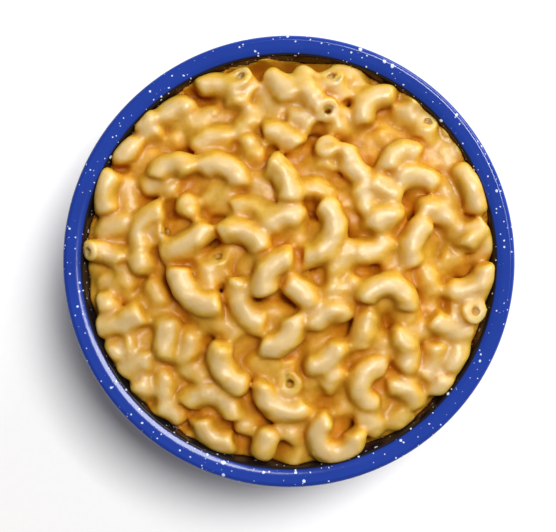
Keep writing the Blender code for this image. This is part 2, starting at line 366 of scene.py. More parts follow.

# %% [markdown]
# ## Where the elbows lie
#
# The elbows that the eye finds first are laid one by one, as a cook's spoon left them. Each
# row gives the two ends and the middle of an elbow's bend in plan, in millimetres from
# the bowl's middle, then its lift over the heap's smooth surface and how much higher its
# first end stands than its middle. An elbow whose first end looks up shows its hole. A
# hole is marked open where it isn't full of sauce.

# %% Elbows laid one by one
LAYOUT_RADIUS = 68.5  # the food's radius that the rows below were laid out for
OPEN = True
LAID = [
    # upper left
    (-31.5, 60, -22, 59, -17.3, 52, 2.5, 0),
    (-41, 46.5, -38, 51.3, -32.5, 50, 1.5, 0),
    (-50.2, 48.8, -47.5, 45.6, -45.8, 41.5, 3.6, 0.5),
    (-50, 38, -54.8, 39.3, -57.4, 34, 2.2, 0.5),
    (-52, 32, -48.5, 33.5, -44, 36.5, -1.8, 0),
    (-44.3, 27.8, -39, 32.3, -33, 29.3, 2.6, -1),
    (-58.8, 30, -61.5, 23.5, -61, 16.5, 4, 0),
    (-56, 28, -54.2, 22.5, -53, 16.5, -0.3, 0),
    (-49, 24.5, -43, 25.5, -37, 23, 0, 0),
    (-29, 30.3, -21.8, 32, -16.4, 25.2, 1.7, 0),
    (-31, 38, -26, 41.5, -19, 41, -0.5, 0),
    (-37, 46, -30, 47, -25, 51, -1.5, 0),
    (-16.6, 62.4, -14.8, 60, -11.5, 56.3, 3, 4, OPEN),
    (-13, 42, -12, 37.5, -8, 34.5, 0, 0),
    (-11, 51.5, -13, 47, -17.5, 43.5, -0.5, 0),
    # top
    (-7, 61.8, -2.6, 58.8, 0.2, 53.4, 4.2, -1.5),
    (-9, 57, -6.5, 52.5, -2, 48.8, -0.8, 0),
    (0, 48.6, 3.7, 47.6, 8, 45, 1.2, 0),
    (6.2, 63.5, 5.6, 58.8, 10, 53.5, 3.8, -1.5),
    (14.2, 62.3, 15.4, 59, 18, 54, 2.4, 4, OPEN),
    (18, 63, 22.5, 60, 22, 54.5, 0, 0),
    (13, 50, 13.4, 48.9, 15.5, 45.6, 0.9, 5.5, OPEN),
    (19, 50.5, 17, 46.5, 16.5, 42, 0.5, 0),
    (12.5, 38.5, 12.5, 35.5, 12, 30, 0.2, 3.5),
    (-6.5, 32.5, -1.5, 28, 0, 20, 2.5, 0),
    (-8, 43, -2, 42, 3, 38, 1.5, 0),
    (-12, 28, -9.5, 25, -7, 21, -2.5, 0),
    (3.5, 22, 8, 24, 13.5, 21, -0.5, 0),
    (11, 19, 15, 10.6, 5.2, 1.6, 1.8, 0),
    (19.5, 38.5, 20.5, 33, 26, 28, 1, 0),
    # upper right
    (35, 55, 27.8, 54.6, 25.2, 46, 3, 0),
    (37, 50, 41, 49.5, 44, 45.5, -2.5, 0),
    (46.8, 47.2, 46.1, 45, 44.3, 40.8, 2.2, 3.2, OPEN),
    (50.5, 41.5, 53.5, 37.5, 55.5, 33, -3, 0),
    (33, 30.3, 36.5, 36.3, 43, 35.5, 2, 0),
    (36, 26.6, 43, 28.8, 49, 25, 1.8, 0),
    (46, 41, 47, 36, 48, 31, -1.5, 0),
    (51, 39, 53, 34.5, 53.5, 29, -1.2, 0),
    (57, 31, 62, 24.5, 66.3, 17.5, 3.6, -0.5),
    (22, 25, 25, 21, 24, 16, 0, 0),
    (27, 27, 32, 24, 37, 22, 1, 0),
    (50.5, 26, 53.5, 22.5, 53, 18.5, 0, 0),
    (43.7, 18, 51, 16, 57, 8.8, 1.5, 0),
    (65.5, 12.5, 62, 9.5, 59, 4.5, 4.5, 0),
    (62, 3.5, 65, 4.5, 66, 8, 1, 0),
    # right
    (27, 10.5, 31, 14.5, 37, 14.5, 2, 0),
    (21.5, 3.2, 27.7, 3.4, 33, 7.3, 0, 0),
    (46.5, 12.5, 41.5, 8, 41.5, -1, 1.5, 0),
    (44.5, -2, 46.5, -6.5, 49, -11, -0.5, 0),
    (50.5, 2, 54.5, 1.5, 58, 2.5, -2, 0),
    (65.5, -1, 61, -9.5, 53, -8, 2.5, 1.5),
    (62.4, -16.6, 60.2, -17.2, 53, -17.3, 3.4, 4.8, OPEN),
    (48, -19, 54, -22.5, 60.5, -23.5, 2, 0),
    (24.9, -13.3, 32, -7.9, 39.2, -16.2, 3, 0),
    (28, -17, 25, -22, 24, -29, 0.5, 0),
    (34, -24.5, 39.5, -29.5, 37.5, -36.5, 2, 0),
    (38, -17.5, 42, -21, 44, -26, -0.5, 0),
    (49, -27.5, 48.3, -33, 45, -38.8, 0.5, 0),
    (56.5, -28, 56.5, -32, 54, -36, 0.5, 0),
    (65, -8, 64.5, -12, 62.5, -14, -2, 0),
    # bottom
    (32, -35.3, 23.6, -40.5, 29.7, -47.4, 1.7, 0),
    (47.5, -41, 51, -40.5, 54, -39, 3, 0),
    (33.5, -41.3, 39.3, -43, 43.3, -48.3, 1, 0),
    (23, -52, 27.5, -53.5, 27.5, -57.5, 0.5, 0),
    (34, -53, 38, -52.5, 40.5, -51, -2, 0),
    (13.5, -53, 13, -63.7, 21.8, -57, 4.5, 0),
    (-6.3, -56.3, -8, -61, -9.8, -66, 3, 0),
    (-2.5, -56.5, 0, -57, 0.8, -60, -0.8, 0),
    (-17.7, -53.8, -15, -54.7, -13.5, -57.7, -0.8, 0),
    (-29.3, -53, -26.6, -58.6, -18.8, -60.6, 1.5, 0),
    (-34, -47.5, -25, -44.5, -18.5, -52, 1, 0),
    (-22.3, -27.3, -21.6, -36.2, -14.2, -41.3, 3, 0),
    (-32, -24, -34, -29.5, -36.5, -34, -0.5, 0),
    (-29, -21, -22.5, -21.5, -17, -25, -1, 0),
    (0.8, -18.3, 0, -24.8, -8.8, -27.3, 2, 0),
    (-13, -31.5, -8, -34, -3, -33, -1.5, 0),
    (0.4, -40.8, 0.3, -38.5, -1, -32, -2, 4, OPEN),
    (-8, -40.5, -6, -47.8, 5.8, -47.8, 2, 0),
    (16.8, -26.5, 13.3, -32.2, 5.5, -34.6, 1.5, 0),
    (15.3, -35.5, 14.3, -38.7, 11.8, -42, 0.3, 0),
    # middle
    (8, -22.5, 13, -16.5, 20, -18, 1, 0),
    (12.5, -8, 17.5, -9, 22.5, -6, -0.5, 0),
    (19, 6.5, 17.5, 0.5, 12.5, -3, -0.5, 0),
    (-1, -7, 3.5, -9.5, 7.5, -15, 1.5, 0),
    (0.4, 0.9, -5.8, -1.9, -8.3, -11, 3, 0),
    (-17, -6, -15.5, -15, -8.5, -21, 1, 0),
    (-23, 9, -16, 10, -9, 3.5, 2.5, 0),
    (-18.6, 17.2, -12.6, 18, -6, 14.7, -0.8, 0),
    (4, 14.4, -1.5, 15, -7, 10.7, 1.3, 0),
    # left
    (-36.4, -2.5, -33.2, -10.8, -23, -14, 2.8, 0),
    (-23.5, 2, -23, -1, -22, -7, -1.2, 2.5, OPEN),
    (-26.5, -1.5, -27, -5, -24.5, -8.5, -1, 0),
    (-42, 3, -33, 6, -27, 12, 1.5, 0),
    (-35.5, 21, -33.8, 18.3, -33.8, 15, 0.8, 0),
    (-40.5, 10, -43, 10, -46, 14, -1, 2, OPEN),
    (-42, 17, -49, 13, -49, 4, 1.5, 0),
    (-48.4, 4, -49.3, 0.5, -49, -4, 1.3, 0),
    (-46.5, -6, -44.5, -10, -42, -15, -1, 0),
    (-55, 4, -55.5, -3, -52.5, -9, -1.5, 0),
    (-67.4, 3.5, -63.4, 3.3, -56, 0, 3.8, 3.6, OPEN),
    (-62.8, 8.3, -59, 12.5, -53.5, 12.5, 0.8, 0),
    (-64.6, -14.2, -61.5, -13.8, -58, -13, 2, 0),
    (-64, -6, -60.5, -7, -57, -11, -1, 0),
    (-64, -21.7, -56.5, -20.5, -49, -17, 2, 0),
    (-40, -19, -41, -27, -42, -33, 2.5, 0),
    (-60.5, -31.8, -56.5, -29.3, -51, -27.8, 1.5, 0),
    (-46, -33, -51, -33.8, -55.8, -37.2, 0.5, 0),
    (-51.2, -45.5, -49.3, -42.9, -46, -41.3, 1.5, 0),
    (-44, -48, -40, -50, -36, -53, 0.5, 0),
    (-40, -38, -42, -42, -40, -46, 0, 0),
    (-36, -37.5, -31.5, -37, -29, -40, -1.5, 0),
]
print("elbows laid by hand:", len(LAID))

# %% [markdown]
# ## One elbow from three points
#
# An elbow's middle line is an arc of a circle, and three points in space fix a circle. So
# a row becomes a circle's middle, its bend radius, half of its sweep, and three unit
# directions: towards the middle of the bend, along it, and square to its plane. Both the
# pasta and the sauce are worked out from these same numbers, which is why they fit.

# %% From rows to bends
TUBE_RADIUS = 3.95
CENTRE_DROP = 2.0  # an elbow's middle line lies this far below its crown's usual height
WALL_CLIMB = 2.2  # how far an elbow's middle line can be pushed up the wall
shuffle = np.random.RandomState(11)


def bend_through(first, middle, last):
    """The arc from first to last by way of middle, as a dictionary of its own measures."""
    to_middle = middle - first
    to_last = last - first
    square = np.cross(to_middle, to_last)
    size = square @ square
    centre = first + (
        (to_last @ to_last) * np.cross(square, to_middle)
        + (to_middle @ to_middle) * np.cross(to_last, square)
    ) / (2.0 * size)
    radius = np.linalg.norm(first - centre)
    normal = square / math.sqrt(size)
    start = (first - centre) / radius
    across = np.cross(normal, start)
    turn = math.atan2((last - centre) @ across, (last - centre) @ start) % math.tau
    half = 0.5 * turn
    outward = math.cos(half) * start + math.sin(half) * across
    return {
        "centre": centre, "bend": radius, "half": half,
        "outward": outward, "along": np.cross(normal, outward), "normal": -normal,
    }


def keep_inside(point, heading, tube):
    """Lift a point of a middle line up the wall, or move it in, so that the tube clears it."""
    distance = math.hypot(point[0], point[1])
    facing = abs(point[:2] @ heading) / (distance * np.linalg.norm(heading) + 1e-9)
    reach = tube * max(math.sqrt(1.0 - min(facing, 1.0) ** 2), 0.25) / math.cos(WALL_LEAN)
    short = distance + reach - float(wall_radius(point[2]))
    if short > 0.0:
        lift = min(short / math.tan(WALL_LEAN), WALL_CLIMB)
        point[2] += lift
        short -= lift * math.tan(WALL_LEAN)
        over = max(point[2] - (RIM_HEIGHT - LIP_FILLET), 0.0)
        short -= 0.22 * over
    if short > 0.0:
        point[:2] *= (distance - short) / distance
    return point


def lay_elbow(row):
    """Turn one row into an elbow."""
    scale = FOOD_RADIUS / LAYOUT_RADIUS
    plan = np.array(row[:6], float).reshape(3, 2) * scale
    lift, rise = row[6:8]
    tube = TUBE_RADIUS * shuffle.uniform(0.93, 1.05)
    heights = np.array([rise, 0.0, -0.35 * rise]) + shuffle.uniform(-0.7, 0.5, 3)
    points = []
    headings = (plan[1] - plan[0], plan[2] - plan[0], plan[2] - plan[1])
    for (x, y), heading, extra in zip(plan, headings, heights):
        height = mound(x, y) - CENTRE_DROP + lift + extra
        points.append(keep_inside(np.array([x, y, height]), heading, tube + 0.2))
    elbow = bend_through(*points)
    elbow["tube"] = tube
    elbow["open"] = len(row) > 8
    elbow["flare"] = shuffle.uniform(-0.15, 0.04)
    elbow["round"] = 0.5 if elbow["open"] else shuffle.uniform(1.1, 2.4)
    elbow["pale"] = float(np.clip(0.55 + 0.13 * lift + shuffle.uniform(-0.28, 0.28), 0.12, 1.0))
    return elbow


def line_points(elbow, count=9):
    """Points along an elbow's middle line."""
    angles = np.linspace(-elbow["half"], elbow["half"], count)[:, None]
    ring = np.cos(angles) * elbow["outward"] + np.sin(angles) * elbow["along"]
    return elbow["centre"] + elbow["bend"] * ring


elbows = [lay_elbow(row) for row in LAID]
lengths = [2.0 * e["bend"] * e["half"] for e in elbows]
print(f"elbow length along the bend: {min(lengths):.1f} to {max(lengths):.1f} mm")

# %% [markdown]
# ## The elbows below
#
# Between the laid elbows others show through the sauce. Nobody places those, so they are
# dropped at random where no laid elbow's middle line is near, a little lower, each with
# its own heading and bend. The seed is fixed, so the heap is the same each time.

# %% Elbows dropped in the gaps
DROP_TRIES = 5000
GAP = 2.8  # least distance in space between middle lines
BARE = 3.4  # a place in plan this far from every middle line isn't covered yet
DROP_LIFT = (-5.0, -2.2)


def drop_elbows():
    taken = np.concatenate([line_points(elbow) for elbow in elbows])
    dropped = []
    for _ in range(DROP_TRIES):
        distance = (FOOD_RADIUS - 4.0) * math.sqrt(shuffle.uniform())
        angle, heading = shuffle.uniform(0.0, math.tau, 2)
        half = math.radians(shuffle.uniform(30.0, 75.0))
        radius = shuffle.uniform(6.0, 8.5)
        lift = shuffle.uniform(*DROP_LIFT)
        tilt = shuffle.uniform(-2.0, 2.0)
        middle = distance * np.array([math.cos(angle), math.sin(angle)])
        if np.hypot(*(taken[:, :2] - middle).T).min() < BARE:
            continue
        out = np.array([math.cos(heading), math.sin(heading)])
        side = np.array([-out[1], out[0]])
        back = middle - radius * out
        ends = [back + radius * (math.cos(half) * out + way * math.sin(half) * side)
                for way in (-1.0, 1.0)]
        if max(np.hypot(*end) for end in ends) > FOOD_RADIUS - 4.0:
            continue
        elbow = lay_elbow((*ends[0], *middle, *ends[1], lift, tilt))
        line = line_points(elbow)
        if np.linalg.norm(line[:, None] - taken[None], axis=2).min() < GAP:
            continue
        taken = np.concatenate([taken, line])
        dropped.append(elbow)
    return dropped


elbows += drop_elbows()
print("elbows in all:", len(elbows))

# %% [markdown]
# ## The pasta, by Geometry Nodes
#
# Every elbow is the same thing: a short hollow sleeve, cut square at both ends and bent.
# So one straight sleeve is modelled, and a Geometry Nodes tree puts a copy of it on each
# point of a small point mesh. The points carry the bends' measures as attributes. Once
# the copies are real, the tree reads each vertex's place on the straight sleeve, winds it
# round its own elbow's circle, and adds the soft unevenness of boiled pasta.

# %% The straight sleeve
SLEEVE_SIDES = 8
SLEEVE_STEPS = 4
BORE = 0.34  # of the tube's radius


def make_sleeve():
    """A hollow sleeve from -1 to 1 along X with a radius of 1, as a ring of rings."""
    rows = [(x, 1.0) for x in np.linspace(-0.94, 0.94, SLEEVE_STEPS + 1)]
    rows += [(1.0, 0.88), (0.97, BORE), (0.0, BORE), (-0.97, BORE), (-1.0, 0.88)]
    mesh = bpy.data.meshes.new("sleeve")
    shape = bmesh.new()
    rings = []
    for x, radius in rows:
        turns = [math.tau * k / SLEEVE_SIDES for k in range(SLEEVE_SIDES)]
        rings.append([shape.verts.new((x, radius * math.cos(t), radius * math.sin(t))) for t in turns])
    for this, following in zip(rings, rings[1:] + rings[:1]):
        for k in range(SLEEVE_SIDES):
            near = (k + 1) % SLEEVE_SIDES
            shape.faces.new((this[k], following[k], following[near], this[near]))
    bmesh.ops.recalc_face_normals(shape, faces=shape.faces[:])
    shape.to_mesh(mesh)
    shape.free()
    mesh.shade_smooth()
    return mesh


sleeve = bpy.data.objects.new("sleeve", make_sleeve())
scene.collection.objects.link(sleeve)
print("sleeve faces:", len(sleeve.data.polygons))

# %% The point mesh that carries the bends
VECTORS = ("centre", "outward", "along", "normal")
NUMBERS = ("bend", "half", "tube", "flare")
TUCK = 0.6  # how far a sleeve ends inside its rounded coat, as a share of the rounding
SLIM = 0.95  # a sleeve is this much slimmer, which keeps its flat faces under the coat


def make_bend_points():
    mesh = bpy.data.meshes.new("bends")
    mesh.from_pydata([tuple(elbow["centre"] * MM) for elbow in elbows], [], [])
    for name in VECTORS:
        values = np.array([elbow[name] for elbow in elbows], np.float32)
        scale = MM if name == "centre" else 1.0
        data = mesh.attributes.new(name, "FLOAT_VECTOR", "POINT").data
        data.foreach_set("vector", (values * scale).astype(np.float32).ravel())
    tucked = np.array([TUCK * elbow["round"] / elbow["bend"] for elbow in elbows], np.float32)
    for name in NUMBERS:
        values = np.array([elbow[name] for elbow in elbows], np.float32)
        values -= tucked if name == "half" else 0.0
        values *= SLIM if name == "tube" else 1.0
        scale = MM if name in ("bend", "tube") else 1.0
        mesh.attributes.new(name, "FLOAT", "POINT").data.foreach_set("value", values * np.float32(scale))
    piece = bpy.data.objects.new("elbow_macaroni", mesh)
    scene.collection.objects.link(piece)
    return piece


macaroni = make_bend_points()
print("bends:", len(macaroni.data.vertices))

# %% The tree that bends the sleeves


def bending_tree():
    tree = bpy.data.node_groups.new("bend_sleeves", "GeometryNodeTree")
    sockets = (("Bends", "INPUT", "NodeSocketGeometry"), ("Sleeve", "INPUT", "NodeSocketObject"),
               ("Unevenness", "INPUT", "NodeSocketFloat"), ("Lump Scale", "INPUT", "NodeSocketFloat"),
               ("Squash", "INPUT", "NodeSocketFloat"), ("Material", "INPUT", "NodeSocketMaterial"),
               ("Macaroni", "OUTPUT", "NodeSocketGeometry"))
    for name, way, kind in sockets:
        tree.interface.new_socket(name=name, in_out=way, socket_type=kind)
    given = node(tree, "NodeGroupInput").outputs

    def read(name, kind="FLOAT"):
        found = node(tree, "GeometryNodeInputNamedAttribute", {"data_type": kind}, Name=name)
        return found.outputs["Attribute"]

    def maths(operation, first, second=0.0):
        return node(tree, "ShaderNodeMath", {"operation": operation}, in0=first, in1=second).outputs[0]

    def scaled(vector, amount):
        return node(tree, "ShaderNodeVectorMath", {"operation": "SCALE"}, in0=vector,
                    Scale=amount).outputs["Vector"]

    def added(first, second):
        return node(tree, "ShaderNodeVectorMath", {"operation": "ADD"}, in0=first,
                    in1=second).outputs["Vector"]

    straight = node(tree, "GeometryNodeObjectInfo", Object=given["Sleeve"]).outputs["Geometry"]
    marked = node(tree, "GeometryNodeStoreNamedAttribute",
                  {"data_type": "FLOAT_VECTOR", "domain": "POINT"}, Geometry=straight,
                  Name="straight", Value=node(tree, "GeometryNodeInputPosition").outputs[0])
    copies = node(tree, "GeometryNodeInstanceOnPoints", Points=given["Bends"],
                  Instance=marked.outputs["Geometry"])
    real = node(tree, "GeometryNodeRealizeInstances", Geometry=copies.outputs["Instances"])
    place = node(tree, "ShaderNodeSeparateXYZ", Vector=read("straight", "FLOAT_VECTOR")).outputs
    widening = maths("MULTIPLY", read("flare"), maths("MULTIPLY", place["X"], place["X"]))
    tube = maths("MULTIPLY", read("tube"), maths("ADD", widening, 1.0))
    angle = maths("MULTIPLY", place["X"], read("half"))
    reach = maths("ADD", read("bend"), maths("MULTIPLY", place["Y"], tube))
    rise = maths("MULTIPLY", maths("MULTIPLY", place["Z"], tube), given["Squash"])
    outward = scaled(read("outward", "FLOAT_VECTOR"), maths("MULTIPLY", reach, maths("COSINE", angle)))
    along = scaled(read("along", "FLOAT_VECTOR"), maths("MULTIPLY", reach, maths("SINE", angle)))
    upright = scaled(read("normal", "FLOAT_VECTOR"), rise)
    wound = added(added(read("centre", "FLOAT_VECTOR"), outward), added(along, upright))
    bent = node(tree, "GeometryNodeSetPosition", Geometry=real.outputs["Geometry"], Position=wound)
    lumps = node(tree, "ShaderNodeTexNoise", Scale=given["Lump Scale"], Detail=1.5,
                 Vector=node(tree, "GeometryNodeInputPosition").outputs[0])
    push = maths("MULTIPLY", maths("SUBTRACT", lumps.outputs["Fac"], 0.5), given["Unevenness"])
    swell = scaled(node(tree, "GeometryNodeInputNormal").outputs[0], push)
    uneven = node(tree, "GeometryNodeSetPosition", Geometry=bent.outputs["Geometry"], Offset=swell)
    smooth = node(tree, "GeometryNodeSetShadeSmooth", Geometry=uneven.outputs["Geometry"])
    finished = node(tree, "GeometryNodeSetMaterial", Geometry=smooth.outputs["Geometry"],
                    Material=given["Material"])
    node(tree, "NodeGroupOutput", Macaroni=finished.outputs["Geometry"])
    return tree


def grow(piece, tree, **settings):
    """Run a Geometry Nodes tree on a piece and keep its result as a plain mesh."""
    modifier = piece.modifiers.new("grow", "NODES")
    modifier.node_group = tree
    for item in tree.interface.items_tree:
        if item.in_out == "INPUT" and item.name in settings:
            modifier[item.identifier] = settings[item.name]
    piece.update_tag()
    result = piece.evaluated_get(bpy.context.evaluated_depsgraph_get())
    mesh = bpy.data.meshes.new_from_object(result)
    piece.modifiers.remove(modifier)
    old = piece.data
    piece.data = mesh
    mesh.name = piece.name
    bpy.data.meshes.remove(old)
    return mesh


food, food_tree, food_shader = new_material("cheese_sauce_and_pasta")
grow(macaroni, bending_tree(), **{
    "Sleeve": sleeve, "Unevenness": 0.0009, "Lump Scale": 160.0, "Squash": 0.96, "Material": food,
})
bpy.data.objects.remove(sleeve)
print("macaroni faces:", len(macaroni.data.polygons))

# %% [markdown]
# ## The sauce as a field of distances
#
# Thick cheese sauce pulls everything together: it fills the low places, climbs in soft
# curves up every tube and bridges the gaps. No modifier makes that shape, but a distance
# field does. For each elbow the distance to its skin is worked out on a grid. Adding up
# exp(-distance / softness) for all elbows and for the pool below them, and taking the
# logarithm, gives one field whose zero surface has round fillets where things meet.

# %% Measure the distances
CELL = 0.75
SOFTNESS = 0.90
FIELD_FLOOR = 42.0
FIELD_ROOM = 5.0  # how far round an elbow its distance is worked out
FILM = 0.34  # the sauce's usual thickness on an elbow's crown
FILM_CHANGE = 0.30
DRAPE = 0.5  # how steeply the sauce's field may rise on the way down, so that it hangs under elbows
POOL_DROP = 5.2  # the pool's level under the heap's smooth surface
WALL_CREEP = 4.6  # how far the sauce climbs where it meets the wall
HIGH_SIDE = 1.6  # how much further it climbs on the far right side, where the heap leans on the wall
SWELLS = (  # places where sauce lies thick: x, y, spread, rise
    (41.0, 51.0, 7.0, 3.2),
    (55.0, 37.0, 7.0, 3.2),
    (21.0, 62.0, 6.0, 1.5),
    (1.0, 60.0, 8.0, -3.0),
    (11.0, 52.0, 6.0, -2.0),
    (-15.0, 50.0, 6.0, 2.2),
    (1.0, -65.0, 7.0, 1.8),
    (-21.0, -25.0, 5.0, 2.4),
    (60.0, 14.0, 6.0, 1.5),
    (-58.0, -2.0, 6.0, 1.6),
    (8.0, 30.0, 5.0, 1.2),
    (-48.0, -24.0, 6.0, 1.8),
    (38.0, -58.0, 7.0, 1.8),
)
END_FILM = 0.2
BARE_END = 0.4  # how far the sauce stays back from an open end
OPEN_DEPTH = 7.0
EDGE_ROUND = 1.4  # how widely the sauce's edge is rounded where it leaves the wall

half_width = FOOD_RADIUS + 2.4
xs = np.arange(-half_width, half_width + CELL, CELL)
zs = np.arange(FIELD_FLOOR - 2.0 * CELL, 1000 * heap_high.z + 6.0, CELL)
corner = np.array([xs[0], xs[0], zs[0]])


def waves(x, y, z, wavelength, seed, count=7):
    """Smooth unevenness from -1 to 1, as a sum of waves that run in random directions."""
    draw = np.random.RandomState(seed)
    total = 0.0
    for _ in range(count):
        way = draw.normal(size=3)
        way *= math.tau / (wavelength * draw.uniform(0.7, 1.6) * np.linalg.norm(way))
        total = total + np.sin(way[0] * x + way[1] * y + way[2] * z + draw.uniform(0.0, math.tau))
    return total / math.sqrt(count)


def local_block(points, room):
    """Slices of the grid round some points, and the coordinates of its nodes there."""
    low = np.maximum(((points.min(0) - room - corner) / CELL).astype(int), 0)
    high = np.minimum(((points.max(0) + room - corner) / CELL).astype(int) + 2,
                      (len(xs), len(xs), len(zs)))
    cut = tuple(slice(a, b) for a, b in zip(low, high))
    grid = np.meshgrid(xs[cut[0]], xs[cut[1]], zs[cut[2]], indexing="ij")
    return cut, grid


def measure(elbow, grid):
    """For each node: distance past the nearer end and out of the side, and which end is nearer."""
    offset = [axis - c for axis, c in zip(grid, elbow["centre"])]
    out, side, up = (sum(o * d for o, d in zip(offset, elbow[name])) for name in VECTORS[1:])
    reach = np.hypot(out, side)
    angle = np.abs(np.arctan2(side, out))
    over = angle - elbow["half"]
    turn = np.clip(over, 0.0, 0.5 * math.pi)
    past = np.where(over > 0.0, reach * np.sin(turn), elbow["bend"] * over)
    across = np.hypot(reach * np.cos(turn) - elbow["bend"], up)
    share = np.minimum(angle / elbow["half"], 1.0)
    tube = elbow["tube"] * (1.0 + elbow["flare"] * share ** 2)
    return past, across, tube, side < 0.0


def sample(volume, points):
    """A volume's value at any points, blended from the eight grid nodes around each."""
    place = (points - corner) / CELL
    limits = np.array(volume.shape) - 1.001
    place = np.clip(place, 0.0, limits)
    base = place.astype(int)
    share = place - base
    value = 0.0
    for dx in (0, 1):
        for dy in (0, 1):
            for dz in (0, 1):
                weight = (np.where(dx, share[:, 0], 1 - share[:, 0])
                          * np.where(dy, share[:, 1], 1 - share[:, 1])
                          * np.where(dz, share[:, 2], 1 - share[:, 2]))
                value = value + weight * volume[base[:, 0] + dx, base[:, 1] + dy, base[:, 2] + dz]
    return value


def rounded(side, end, radius):
    """Distance to a rod's skin whose end's edge is rounded by this radius."""
    a, b = side + radius, end + radius
    return np.hypot(np.maximum(a, 0.0), np.maximum(b, 0.0)) + np.minimum(np.maximum(a, b), 0.0) - radius


def sauce_field():
    """The sauce's field, the pasta's own distance, and the paleness of the nearest pasta."""
    x, y, z = np.meshgrid(xs, xs, zs, indexing="ij")
    radius = np.hypot(x[:, :, 0], y[:, :, 0])
    level = mound(x[:, :, 0], y[:, :, 0]) - POOL_DROP
    level += 1.2 * waves(x[:, :, 0], y[:, :, 0], 0.0, 15.0, 3)
    level += 0.8 * waves(x[:, :, 0], y[:, :, 0], 0.0, 6.5, 4)
    around = np.arctan2(y[:, :, 0], x[:, :, 0])
    creep = WALL_CREEP + 0.8 * np.sin(3.0 * around + 1.0) + 0.6 * np.sin(8.0 * around)
    creep += HIGH_SIDE * np.maximum(np.cos(around - math.radians(70.0)), 0.0)
    for swell_x, swell_y, spread, rise in SWELLS:
        away = np.hypot(x[:, :, 0] - swell_x, y[:, :, 0] - swell_y)
        level += rise * np.exp(-(away / spread) ** 2)
    level += creep * np.exp(-np.maximum(FOOD_RADIUS - radius, 0.0) / 3.0)
    total = np.exp(-(0.8 * (z - level[:, :, None])) / SOFTNESS)
    near = np.full(x.shape, 1e-9)
    pale = np.zeros(x.shape)
    pasta = np.full(x.shape, FIELD_ROOM)
    film = FILM + FILM_CHANGE * waves(x, y, z, 9.0, 5) + 0.11 * waves(x, y, z, 3.5, 6)
    film = np.maximum(film, 0.03)
    for elbow in elbows:
        cut, grid = local_block(line_points(elbow), elbow["tube"] + FIELD_ROOM)
        past, across, tube, first_end = measure(elbow, grid)
        bare = np.where(first_end, BARE_END, -END_FILM) if elbow["open"] else -END_FILM
        distance = rounded(across - tube, past + bare, elbow["round"])
        weight = np.exp(-distance / SOFTNESS)
        total[cut] += weight * np.exp(film[cut] / SOFTNESS)
        near[cut] += weight ** 3
        pale[cut] += weight ** 3 * elbow["pale"]
        pasta[cut] = np.minimum(pasta[cut], distance)
    field = -SOFTNESS * np.log(total)
    for level in range(field.shape[2] - 2, -1, -1):
        above = field[:, :, level + 1] + DRAPE * CELL
        field[:, :, level] = np.minimum(field[:, :, level], above)
    for elbow in elbows:
        if not elbow["open"]:
            continue
        cut, grid = local_block(line_points(elbow), elbow["tube"] + 2.0)
        past, across, tube, first_end = measure(elbow, grid)
        hole = np.maximum(np.maximum(across - BORE * tube, -OPEN_DEPTH - past), past - 1.2)
        field[cut] = np.maximum(field[cut], np.where(first_end, -hole, -CELL))
    return field.astype(np.float32), pasta.astype(np.float32), (pale / near).astype(np.float32), x, y, z


field, pasta, pale, x, y, z = sauce_field()
print("grid", field.shape, "cells", field.size)

# %% [markdown]
# ## From field to mesh
#
# The surface is taken out of the field cell by cell. Each cell that the surface crosses
# gets one vertex, at the mean of the crossings on its edges, and each grid edge that it
# crosses gets one face between the four cells around it. The vertices are then slid along
# the field's slope until they lie on the surface, which leaves it smooth.

# %% Take out the surface


def slope(volume, points):
    """The field's slope at any points."""
    step = 0.5 * CELL
    sides = []
    for axis in range(3):
        shift = np.zeros(3)
        shift[axis] = step
        sides.append((sample(volume, points + shift) - sample(volume, points - shift)) / (2 * step))
    return np.stack(sides, axis=1)


def surface_of(volume):
    """Vertices and four-cornered faces of the volume's zero surface."""
    inside = volume < 0.0
    cells = np.array(volume.shape) - 1
    sums = np.zeros((*cells, 3), np.float32)
    counts = np.zeros(cells, np.float32)
    crossings = []
    for axis in range(3):
        first = [slice(None)] * 3
        second = [slice(None)] * 3
        first[axis] = slice(None, -1)
        second[axis] = slice(1, None)
        crossed = np.argwhere(inside[tuple(first)] != inside[tuple(second)])
        others = [a for a in range(3) if a != axis]
        crossed = crossed[np.all([(crossed[:, a] > 0) & (crossed[:, a] < cells[a]) for a in others], 0)]
        nextto = crossed.copy()
        nextto[:, axis] += 1
        low = volume[tuple(crossed.T)]
        high = volume[tuple(nextto.T)]
        point = crossed.astype(np.float32)
        point[:, axis] += low / (low - high)
        around = []
        for back_a, back_b in ((1, 1), (0, 1), (0, 0), (1, 0)):
            cell = crossed.copy()
            cell[:, others[0]] -= back_a
            cell[:, others[1]] -= back_b
            around.append(cell)
            np.add.at(sums, tuple(cell.T), point)
            np.add.at(counts, tuple(cell.T), 1.0)
        crossings.append((np.stack(around, 1), low < 0.0, axis))
    index = np.full(cells, -1)
    used = counts > 0
    index[used] = np.arange(used.sum())
    verts = corner + CELL * sums[used] / counts[used][:, None]
    faces = []
    for around, outward, axis in crossings:
        quad = index[tuple(np.moveaxis(around, 2, 0))]
        flip = outward if axis == 1 else ~outward
        faces.append(np.where(flip[:, None], quad[:, ::-1], quad))
    return verts.astype(float), np.concatenate(faces)


def fill_pinches(volume):
    """Fill nodes where two sheets of the surface would share an edge."""
    for _ in range(6):
        inside = volume < 0.0
        found = 0
        for axis in range(3):
            flat = np.moveaxis(inside, axis, 0)
            a, b, c, d = flat[:, :-1, :-1], flat[:, 1:, :-1], flat[:, :-1, 1:], flat[:, 1:, 1:]
            crossed = (a == d) & (b == c) & (a != b)
            found += int(crossed.sum())
            target = np.moveaxis(volume, axis, 0)
            for row, column in ((0, 0), (1, 0), (0, 1), (1, 1)):
                part = target[:, row:row + crossed.shape[1], column:column + crossed.shape[2]]
                np.copyto(part, np.minimum(part, -0.05 * CELL), where=crossed)
        if not found:
            return


